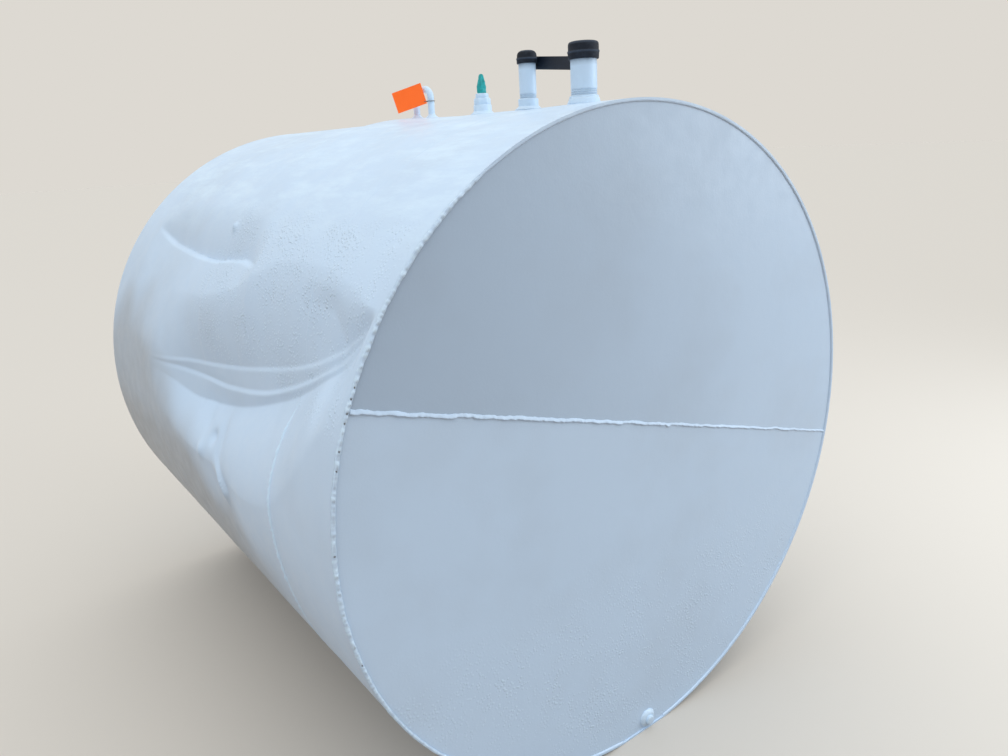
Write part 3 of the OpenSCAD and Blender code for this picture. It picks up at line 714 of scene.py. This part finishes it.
class TANK_OT_beads(bpy.types.Operator):
    """Lays the weld beads of the shell and its heads"""
    bl_idname = "tank.beads"
    bl_label = "Weld beads"

    def execute(self, context):
        self.girth("front_seam_bead", "front_girth_weld", SEAM1, 7.5, 3.4, 11, clean_and_lit=1.0)
        self.girth("rear_seam_bead", "rear_girth_weld", SEAM2 + 1.5, 9, 1.2, 12)
        self.lengthwise("front_plate_seam_bead", "front_long_weld", 0, SEAM1 - 4, 13)
        self.lengthwise("middle_plate_seam_bead", "middle_long_weld", SEAM1 + 4, SEAM2, 14)
        self.lengthwise("rear_plate_seam_bead", "rear_long_weld", SEAM2 + 5, TANK_L, 15)
        self.head("front_head_bead", "front_head_seam_weld", HEAD_Y, -1, 16)
        self.head("rear_head_bead", "rear_head_seam_weld", REAR_HEAD_Y, 1, 17)
        # Pinholes where the seam meets the rim and a few more down the left side, as degrees from the crown
        pinholes = [(180 + d) / 360 for d in (67.6, 69.2, 70.6, 72, 76.1, 78.6, 90, 108)]
        self.rim("front_rim_bead", "front_rim_weld", HEAD_Y, -1, 18, pinholes)
        self.rim("rear_rim_bead", "rear_rim_weld", REAR_HEAD_Y, 1, 19, (0.3, 0.42, 0.7))
        return {"FINISHED"}

    def around(self, step):
        """Angles round the tank that many millimetres apart, apart from the strip it rests on."""
        rest = REST_HALF / TANK_R
        return np.arange(-math.pi + rest, math.pi - rest, step / TANK_R)

    def girth(self, name, node_name, y0, width, height, seed, clean_and_lit=0.0):
        """A bead round the shell. A clean one stands out only low on the left side, with a painted highlight
        along its back.
        """
        a = self.around(4.5)
        y = np.full(len(a), float(y0))
        s = a * TANK_R
        shows = 0.15 + 0.85 * ease((s - 1020) / 60) * ease((1750 - s) / 400)
        proud = np.where((s > 0) & (clean_and_lit > 0), shows, 0.3)
        lengthways = np.tile([0, 1, 0], (len(a), 1))
        # The clean bead's fresh white is also a painted highlight along its lit back
        bead(name, node_name, shell_point(y, a, shell_radius(y, a)), off_shell(a), lengthways, width,
            height * proud, seed, sink=0.8, fullness=1.0, lumps=0.9, fresh=clean_and_lit * shows)

    def lengthwise(self, name, node_name, start, end, seed):
        """A flat bead along one course, at the angle of its node."""
        low, high = box_mm(node_name)
        middle = (low + high) / 2
        y = np.arange(start + 1, end - 1, 4.0)
        a = np.full(len(y), math.atan2(-middle[0], middle[2] - AXIS_Z))
        bead(name, node_name, shell_point(y, a, shell_radius(y, a)), off_shell(a), off_shell(a + math.pi / 2),
            8, 1.8, seed)

    def head(self, name, node_name, y0, way, seed):
        """The wavy bead across a head, a little heavier at its left end."""
        left, right = head_seam(node_name, y0)
        n = int(np.linalg.norm(right - left) / 3.0)
        t = np.linspace(0, 1, n)[:, None]
        line = left * (1 - t) + right * t
        line[:, 1] -= way * head_dish(line[:, 0], line[:, 2])
        along = (right - left) / np.linalg.norm(right - left)
        # The bead sagged as it was laid: its back leans down, over a steep lower side
        out = np.tile([0, way * 0.75, -0.66], (n, 1))
        upright = np.tile(np.cross(along, [0, way, 0]), (n, 1))
        fade = 1.25 - 0.45 * t[:, 0]
        bead(name, node_name, line, out, upright, 8.5 * fade, 4.0 * fade, seed, wander=1.6, lumps=0.6,
            fullness=0.8)

    def rim(self, name, node_name, y0, way, seed, pits):
        """The weld in the corner of head and shell, laid at 45 degrees to both and lumpy on the left, with
        painted glints on the lumps.
        """
        a = self.around(3.0)
        left = window(np.degrees(a), 40, 150, 14, 10) * (way < 0)
        heavy = left * (1 - 0.7 * ease((np.degrees(a) - 100) / 16))
        radius = HEAD_R - HALF_LEG + (HALF_LEG + 2) * left
        inset = y0 if way < 0 else TANK_L - y0
        proud = way * (HALF_LEG + (inset - HALF_LEG) * left)
        path = np.stack([-radius * np.sin(a), RIM_Y + y0 + proud, AXIS_Z + radius * np.cos(a)], 1)
        inward = -off_shell(a)
        out = inward * (1 - left)[:, None] + np.array([0, way, 0])
        out = out / np.linalg.norm(out, axis=1)[:, None]
        across = inward - out * np.sum(inward * out, 1)[:, None]
        across = across / np.linalg.norm(across, axis=1)[:, None]
        grains = ripple(path, 5, seed + 8)
        # On the left, the fresh white on the bead's lumps is a painted glint
        bead(name, node_name, path, out, across, 6 + 4 * heavy, 1.0 + (1.8 + 1.8 * grains) * heavy, seed,
            pits=pits, sink=2.2, wander=0.3 + 0.3 * left, lumps=0.3 + 0.9 * heavy,
            fresh=left * np.clip(0.5 + 1.8 * grains, 0, 1))


# Caps as radius off the band's and share of the height: a band with a ridge on it, and a round-edged drum
FILL_CAP = [(-9, 0.0), (-2.4, 0.0), (-1.6, 0.03), (-1.0, 0.30), (-0.5, 0.36), (-0.05, 0.38), (-0.05, 0.44),
    (-0.9, 0.46), (-1.7, 0.49), (-1.8, 0.80), (-2.6, 0.89), (-4.6, 0.955), (-8.5, 0.99), (-20, 0.998),
    (-36, 1.0)]
VENT_CAP = [(-7, 0.0), (-1.6, 0.0), (-1.0, 0.04), (-0.7, 0.26), (-0.4, 0.31), (-0.05, 0.33), (-0.05, 0.39),
    (-0.8, 0.42), (-1.5, 0.46), (-1.7, 0.58), (-2.4, 0.70), (-4.2, 0.81), (-7.2, 0.90), (-11.5, 0.96),
    (-18, 0.99), (-25.6, 1.0)]
# Point of both caps' profiles at which the band's ridge starts
CAP_RIDGE = 5


def collar(name, node_name, centre, r, seed, waist):
    """The fillet weld round a coupling of radius r, through the points of its waist between foot and top.

    A point of the waist is a share of the way out from the coupling and a height over the crown.
    """
    _, wide, _, top = round_box(node_name)
    turned(name, node_name, [(r - 1, CROWN_Z - 1.5), (wide - 0.7, CROWN_Z - 1.5), (wide - 0.5, CROWN_Z + 0.4),
        *[(r + (wide - r) * share, CROWN_Z + rise) for share, rise in waist],
        (r + 0.4, top - 0.4), (r - 1, top)], centre, 0.9, seed, 9)


class TANK_OT_risers(bpy.types.Operator):
    """Makes the fill riser and the vent riser with their couplings, collar welds and caps"""
    bl_idname = "tank.risers"
    bl_label = "Risers"

    def execute(self, context):
        # Heights over the crown at which threads show above each coupling
        self.riser("fill", (20, 24.5, 29), FILL_CAP)
        self.riser("vent", (27, 30.5, 34), VENT_CAP)
        return {"FINISHED"}

    def riser(self, name, threads, cap_shape):
        """One riser, from its coupling up."""
        centre, r, low, high = round_box(name + "_coupling")
        turned(name + "_socket", name + "_coupling", [(r - 4, low), (r - 0.6, low), (r, low + 0.6),
            (r, high - 1.4), (r - 1.4, high), (r - 3, high + 0.1)], centre, 0.5, 21, 14, sharp=40)
        tall = box_mm(name + "_collar_weld")[1][2] - CROWN_Z
        collar(name + "_socket_bead", name + "_collar_weld", centre, r, 22,
            ((0.62, tall * 0.3), (0.36, tall * 0.62)))
        _, cap_r, under, cap_top = round_box(name + "_cap")
        _, pipe_r, bottom, top = round_box(name + "_riser")
        profile = [(pipe_r - 3, bottom), (pipe_r - 0.4, bottom)]
        for z in threads:
            z += CROWN_Z
            profile += [(pipe_r, z - 1.6), (pipe_r - 1.1, z - 0.3), (pipe_r - 1.1, z + 0.3),
                (pipe_r, z + 1.4)]
        profile += [(pipe_r, threads[-1] + CROWN_Z + 5), (pipe_r, under - 14), (pipe_r, under - 6),
            (pipe_r, under + 1), (pipe_r, top - 1), (pipe_r - 3, top)]
        pipe = turned(name + "_pipe", name + "_riser", profile, centre, 0.35, 23, 18, sharp=40)
        # Soot in the threads, and painted shade on the pipe just under its cap
        heights = np.array([v.co.z / MM - CROWN_Z for v in pipe.data.vertices])
        paint(pipe, "soot", window(heights, threads[0] - 2, threads[-1] + 2, 3, 4) * 0.45
            + window(heights, under - CROWN_Z - 2, 300, 8, 1) * 0.8)
        tall = cap_top - under
        cap = turned(name + "_pipe_cap", name + "_cap", [(cap_r + off, under + tall * share)
            for off, share in cap_shape], centre, 0.3, 24, 10, sharp=35, coat=black_iron(), slot="black_iron")
        # Grey on the band's ridge and top edge: worn paint and a painted highlight
        shares = np.array([(v.co.z / MM - under) / tall for v in cap.data.vertices])
        paint(cap, "worn", 0.55 * bell(shares, cap_shape[CAP_RIDGE][1] + 0.03, 0.05)
            + 0.6 * bell(shares, 0.93, 0.05))


class TANK_OT_port(bpy.types.Operator):
    """Makes the spare port's coupling, its two bushings and the crumpled plug"""
    bl_idname = "tank.port"
    bl_label = "Spare port"

    def execute(self, context):
        centre, r, low, high = round_box("port_coupling")
        turned("port_socket", "port_coupling", [(r - 4, low), (r, low + 0.5), (r, high - 2), (r - 1.6, high),
            (r - 4, high + 0.1)], centre, 0.5, 31, 12, sharp=40)
        collar("port_socket_bead", "port_collar_weld", centre, r, 32, ((0.5, 3),))
        self.hexagon("port_large_bushing", "port_bushing", centre, high, 33)
        self.hexagon("port_small_bushing", "port_reducer", centre, box_mm("port_bushing")[1][2], 34)
        self.plug(centre)
        return {"FINISHED"}

    def hexagon(self, name, node_name, centre, foot, seed):
        """A bushing's hexagon with a chamfered top, blunted by paint, and its round shank below."""
        _, r, _, top = round_box(node_name)
        flat = r * math.cos(math.pi / 6)
        # Height, how round, and how far grown
        rings = ((foot - 12, 1, -3.5), (foot, 1, -3.5), (foot, 0, -0.4), (foot + 0.6, 0, 0),
            (top - 2.2, 0, 0), (top - 0.6, 0.6, -0.5), (top, 1, -2.2), (top, 1, -r * 0.5))
        segments = 72
        points = []
        for height, blend, grow in rings:
            for k in range(segments):
                a = 2 * math.pi * k / segments
                six = min(flat / math.cos((a + math.pi / 6) % (math.pi / 3) - math.pi / 6), r - 0.5)
                radius = six * (1 - blend) + flat * blend + grow
                points.append((radius * math.cos(a), radius * math.sin(a), height))
        points = np.array(points)
        points[:, :2] *= (1 + 0.012 * ripple(points, 9, seed))[:, None]
        mesh_piece(name, points + centre, tube_faces(len(rings), segments), [node_name], sharp=50,
            fresh=FITTING_COAT)

    def plug(self, centre):
        """A plug dipped in teal paint, with folds that run up to a blunt crumpled tip."""
        _, r, low, high = round_box("port_plug")
        foot = box_mm("port_reducer")[1][2]
        shape = [(0.55, low), (0.60, foot), (0.98, foot + 0.2), (1.0, foot + 3), (0.97, foot + 12),
            (0.93, foot + 18), (0.80, foot + 27), (0.66, foot + 36), (0.52, high - 6), (0.36, high - 1.5),
            (0.12, high - 0.2), (0.04, high)]
        heights = np.concatenate([[low, foot], np.linspace(foot + 0.2, high, 34)])
        widths = np.interp(heights, [h for _, h in shape], [w for w, _ in shape]) * r
        segments = 60
        points = []
        for h, w in zip(heights, widths):
            t = max(h - foot, 0) / (high - foot)
            for k in range(segments):
                a = 2 * math.pi * k / segments
                fold = 0.10 * math.sin(5 * a + 2.1 * t) + 0.07 * math.sin(3 * a - 5 * t + 1)
                fold += 0.12 * noise.noise(Vector((math.cos(a) * 2.2, math.sin(a) * 2.2, h / 7)))
                radius = min(w * (0.92 + fold * min(t * 5, 1)), r * 0.995)
                points.append((radius * math.cos(a), radius * math.sin(a), h))
        # Thick dipped enamel: an even blue-green, darker where it is thin, in patches of 11 mm
        teal = flat_paint("dipped_teal_enamel", "teal", 0.5, 90, 0.8, 0.55)
        mesh_piece("port_crumpled_plug", np.array(points) + centre, tube_faces(len(heights), segments),
            ["port_plug"], coat=teal, slot="teal_paint", sharp=60)


class TANK_OT_lug(bpy.types.Operator):
    """Makes the lifting staple, its foot welds and the tag, and paints the tie wire"""
    bl_idname = "tank.lug"
    bl_label = "Lifting lug and tag"

    def execute(self, context):
        low, high = box_mm("lifting_lug")
        r = (high[0] - low[0]) / 2
        front, rear, top = low[1] + r, high[1] - r, high[2] - r
        bend, foot = 26, low[2] - 1
        path = [(0, front, z) for z in np.linspace(foot, top - bend, 16)]
        path += [(0, front + bend * (1 - math.cos(a)), top - bend * (1 - math.sin(a)))
            for a in np.linspace(0.1, math.pi / 2, 12)]
        path += [(0, rear - bend * (1 - math.sin(a)), top - bend * (1 - math.cos(a)))
            for a in np.linspace(0, math.pi / 2 - 0.1, 12)]
        path += [(0, rear, z) for z in np.linspace(top - bend, foot, 16)]
        points, faces = rod(path, r, 32)
        lump = ripple(points, 22, 41) * 0.5 + ripple(points, 9, 42) * 0.3
        spine = np.repeat(np.array(path), 32, axis=0)
        points = spine + (points - spine) / r * (r - 0.5 + lump)[:, None]
        mesh_piece("lifting_staple", points, faces, ["lifting_lug"], fresh=FITTING_COAT)
        self.feet(front, rear, r)
        self.tag()
        return {"FINISHED"}

    def feet(self, front, rear, r):
        """The lumpy fillet round each leg, one piece with two rings."""
        # Distance out from the leg and height over the shell
        profile = ((0, 9.5), (0.8, 9.3), (2.6, 6.2), (5.2, 3.0), (8.8, 0.8), (10.5, -0.6), (10.0, -2.5),
            (0, -2.5))
        segments, last = 48, len(profile) - 1
        rings, faces = [], []
        for y in (front, rear):
            ground = float(shell_radius(np.array([y - RIM_Y]), np.array([0.0]))[0]) + AXIS_Z
            ring = ring_points([(r - 0.8 + out, ground + up) for out, up in profile], segments) + (0, y, 0)
            ring[:, 2] += ripple(ring, 8, 43) * 0.8
            start = len(rings) * len(ring)
            rings.append(ring)
            faces += [tuple(start + k for k in quad[::-1])
                for quad in grid_faces(len(profile), segments, closed=True)]
            faces += [(start + k, start + (k + 1) % segments, start + last * segments + (k + 1) % segments,
                start + last * segments + k) for k in range(segments)]
        mesh_piece("staple_foot_beads", np.concatenate(rings), faces, ["lug_foot_welds"], fresh=FITTING_COAT)

    def tag(self):
        """A card of orange vinyl that hangs by one corner from a loop of wire."""
        # The card's middle, directions and sizes, from the corners of its solid
        corners = np.array([v.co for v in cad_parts["tag"].data.vertices]) / MM
        corners = np.unique(corners.round(3), axis=0)
        middle = (corners.min(0) + corners.max(0)) / 2
        far = corners[np.argsort(-np.linalg.norm(corners - middle, axis=1))[:8]]
        gaps = far - far[0]
        sizes = np.linalg.norm(gaps, axis=1)
        # Of the gaps over 10 mm, two lead along the card's short edge and the next one along its long edge
        long_edge = gaps[[k for k in np.argsort(sizes) if sizes[k] > 10][2]]
        along = long_edge / np.linalg.norm(long_edge)
        up = np.cross(np.linalg.svd(corners - corners.mean(0))[2][2], along)
        if up[2] < 0:
            up = -up
        normal = np.cross(along, up)
        centre = far.mean(0)
        spread = (corners - centre) @ np.stack([along, up, normal], 1)
        low, high = spread.min(0), spread.max(0)
        rows, columns, half_thick = 26, 40, 0.35
        front, back = [], []
        for v in np.linspace(0, 1, rows):
            for u in np.linspace(0, 1, columns):
                curl = 1.1 * math.sin(u * 2.4 + 0.4) * (v - 0.4)
                curl += 0.5 * noise.noise(Vector((u * 3, v * 2, 5)))
                across, height = low[:2] + (high - low)[:2] * (u, v)
                base = centre + along * across + up * height
                front.append(base + normal * (curl + half_thick))
                back.append(base + normal * (curl - half_thick))
        # Fluorescent vinyl, printed all over: a flat orange with a painted glow, creased every 33 mm
        orange = flat_paint("creased_orange_vinyl", "card", 0.6, 30, 0.6, 0.93, painted_glow=0.32)
        mesh_piece("orange_card", np.array(front + back), sheet_faces(rows, columns), ["tag"], coat=orange,
            slot="orange_card", sharp=50)
        # Drawn wire, dipped in zinc and gone dull: a soft grey with pale blotches of 3 mm
        recoat("tag_wire", flat_paint("dull_galvanised_wire", "wire", 0.5, 300, 0.2, 0.7))


class TANK_OT_lock_bar(bpy.types.Operator):
    """Paints the flat bar that lies behind the two caps"""
    bl_idname = "tank.lock_bar"
    bl_label = "Lock bar"

    def execute(self, context):
        # Brushed machine enamel: nearly black, with a blue cast and faint brush marks of 17 mm
        recoat("cap_lock_bar", flat_paint("dark_blue_machine_enamel", "bar", 0.5, 60, 0.6, 0.8))
        return {"FINISHED"}


class TANK_OT_drain(bpy.types.Operator):
    """Makes the drain's coupling, its weld and its plug, low on the front head"""
    bl_idname = "tank.drain"
    bl_label = "Drain"

    def execute(self, context):
        centre, r, back, face = round_box("drain_coupling", "-Y")
        turned("drain_socket", "drain_coupling", [(r - 5, back), (r, back), (r, face - 2), (r - 1.8, face),
            (r - 5, face + 0.1)], centre, 0.5, 51, 9, sharp=40, axis="-Y")
        _, wide, low, high = round_box("drain_collar_weld", "-Y")
        turned("drain_socket_bead", "drain_collar_weld", [(r - 1, low - 1), (wide - 0.6, low - 1),
            (wide - 0.4, low + 0.3), (r + (wide - r) * 0.55, low + (high - low) * 0.5), (r + 0.3, high - 0.3),
            (r - 1, high)], centre, 0.35, 52, 7, axis="-Y")
        _, head, _, end = round_box("drain_plug", "-Y")
        turned("drain_screw_plug", "drain_plug", [(head - 4, back + 4), (head - 3, face - 0.5),
            (head - 0.6, face + 0.2), (head, face + 1.2), (head, end - 1.6), (head - 1.5, end - 0.2),
            (head - 3, end), (0.5, end)], centre, 0.5, 53, 7, sharp=40, axis="-Y")
        return {"FINISHED"}


# Stage, in metres

# The camera's place, and the directions to its right and ahead, fitted to both rims of the shell
CAMERA_PLACE = (-1.28085, -2.10177, 1.54455)
CAMERA_RIGHT = (0.7958, -0.6034, -0.0507)
CAMERA_AHEAD = (0.5661, 0.7711, -0.2916)
# Sky colours overhead and low down, over a black horizon, and the strength of both
SKY_HIGH = (0.96, 0.99, 1.0, 1)
SKY_MID = (0.42, 0.49, 0.57, 1)
SKY_STRENGTH = 1.52
# Floor as it lights the tank, and floor and wall as they are seen
FLOOR_BOUNCE = "#8C7967"
FLOOR_SEEN = "#D6CDC2"
WALL_SEEN = "#DDD9D2"
FLOOR_HALF = 60


class TANK_OT_stage(bpy.types.Operator):
    """Sets the camera, the soft light and the pale floor"""
    bl_idname = "tank.stage"
    bl_label = "Stage"

    def execute(self, context):
        stage = context.scene.tank_stage
        self.camera(stage.lens)
        self.floor()
        self.sky(stage.sky)
        self.lamp("right_soft_box", (3.3, -2.9, 2.0), (0.35, -0.9, 0.8), 2.6, 180, stage.lamp,
            (0.77, 0.88, 1.0))
        self.lamp("left_soft_box", (-3.3, -2.1, 0.8), (-0.8, -0.5, 0.85), 1.6, 90, stage.low_lamp,
            (0.75, 0.87, 1.0))
        context.scene.view_settings.view_transform = "Standard"
        return {"FINISHED"}

    def place(self, name, data):
        """A new object in the scene."""
        made = bpy.data.objects.new(name, data)
        bpy.context.scene.collection.objects.link(made)
        return made

    def camera(self, lens):
        """The camera at the photograph's viewing angle."""
        camera = bpy.data.cameras.new("camera")
        camera.sensor_width = 36
        camera.lens = lens
        camera.clip_end = 200
        eye = self.place("camera", camera)
        right, ahead = Vector(CAMERA_RIGHT).normalized(), Vector(CAMERA_AHEAD).normalized()
        up = right.cross(ahead).normalized()
        turn = Matrix((right, up, -ahead)).transposed().to_4x4()
        eye.matrix_world = Matrix.Translation(CAMERA_PLACE) @ turn
        bpy.context.scene.camera = eye

    def floor(self):
        """A wide pale floor that keeps the tank's shadow."""
        mesh = bpy.data.meshes.new("floor")
        corners = [(x * FLOOR_HALF, y * FLOOR_HALF, 0) for x, y in ((-1, -1), (1, -1), (1, 1), (-1, 1))]
        mesh.from_pydata(corners, [], [(0, 1, 2, 3)])
        made, tree = material("pale_floor")
        tone = node(tree, "Mix", {0: self.background_ray(tree), 6: (*linear(FLOOR_BOUNCE), 1),
            7: (*linear(FLOOR_SEEN), 1)}, data_type="RGBA")
        node(tree, "OutputMaterial", {"Surface": node(tree, "BsdfDiffuse", {"Color": tone})})
        mesh.materials.append(made)
        self.place("floor", mesh)

    def sky(self, strength):
        """An open sky, black at the horizon and bright overhead, that is seen as a pale wall."""
        world = bpy.data.worlds.new("soft_studio")
        bpy.context.scene.world = world
        world.use_nodes = True
        tree = world.node_tree
        tree.nodes.clear()
        parts = node(tree, "SeparateXYZ", {0: node(tree, "TexCoord").outputs["Generated"]})
        ramp = node(tree, "ValToRGB", {0: parts.outputs[2]})
        ramp.color_ramp.interpolation = "EASE"
        stops = ramp.color_ramp.elements
        stops.new(0.35).color = SKY_MID
        stops[0].position, stops[0].color = 0.02, (0, 0, 0, 1)
        stops[-1].position, stops[-1].color = 0.95, SKY_HIGH
        wall = node(tree, "Background", Color=(*linear(WALL_SEEN), 1), Strength=1.0)
        soft = node(tree, "Background", {"Color": ramp}, Strength=SKY_STRENGTH * strength)
        mix = node(tree, "MixShader", {0: self.background_ray(tree), 1: soft, 2: wall})
        node(tree, "OutputWorld", {"Surface": mix})

    def lamp(self, name, place, target, size, spread, watts, tone):
        """A round soft box at a place, aimed at a target."""
        lamp = bpy.data.lights.new(name, "AREA")
        lamp.shape = "DISK"
        lamp.size = size
        lamp.energy = watts
        lamp.spread = math.radians(spread)
        lamp.color = tone
        box = self.place(name, lamp)
        aim = Vector(target) - Vector(place)
        box.matrix_world = Matrix.Translation(place) @ aim.to_track_quat("-Z", "Y").to_matrix().to_4x4()
        box.visible_camera = False

    def background_ray(self, tree):
        """1 for what the camera, a reflection or a view through glass sees, so all show the same tone."""
        path = node(tree, "LightPath")
        seen = node(tree, "Math", {0: path.outputs["Is Camera Ray"], 1: path.outputs["Is Glossy Ray"]},
            operation="MAXIMUM")
        return node(tree, "Math", {0: seen, 1: path.outputs["Is Transmission Ray"]}, operation="MAXIMUM")


class TANK_PT_panel(bpy.types.Panel):
    """Lists the steps that dress the tank"""
    bl_idname = "TANK_PT_panel"
    bl_label = "Fuel tank"
    bl_space_type = "VIEW_3D"
    bl_region_type = "UI"
    bl_category = "Fuel tank"

    def draw(self, context):
        for step in STEPS:
            self.layout.operator(step.bl_idname)
        for group in ("tank_finish", "tank_dents", "tank_stage"):
            box = self.layout.box()
            for name in getattr(context.scene, group).__annotations__:
                box.prop(getattr(context.scene, group), name)


STEPS = (TANK_OT_stage, TANK_OT_shell, TANK_OT_heads, TANK_OT_beads, TANK_OT_risers, TANK_OT_port,
    TANK_OT_lug, TANK_OT_lock_bar, TANK_OT_drain)
CLASSES = (FinishSettings, DentSettings, StageSettings, *STEPS, TANK_PT_panel)


def register():
    for made in CLASSES:
        bpy.utils.register_class(made)
    bpy.types.Scene.tank_finish = bpy.props.PointerProperty(type=FinishSettings)
    bpy.types.Scene.tank_dents = bpy.props.PointerProperty(type=DentSettings)
    bpy.types.Scene.tank_stage = bpy.props.PointerProperty(type=StageSettings)


def unregister():
    for name in ("tank_finish", "tank_dents", "tank_stage"):
        delattr(bpy.types.Scene, name)
    for made in reversed(CLASSES):
        bpy.utils.unregister_class(made)


def main():
    register()
    for step in STEPS:
        group, name = step.bl_idname.split(".")
        if getattr(getattr(bpy.ops, group), name)() != {"FINISHED"}:
            raise RuntimeError(f"{step.bl_label} did not finish")


if __name__ == "__main__":
    main()
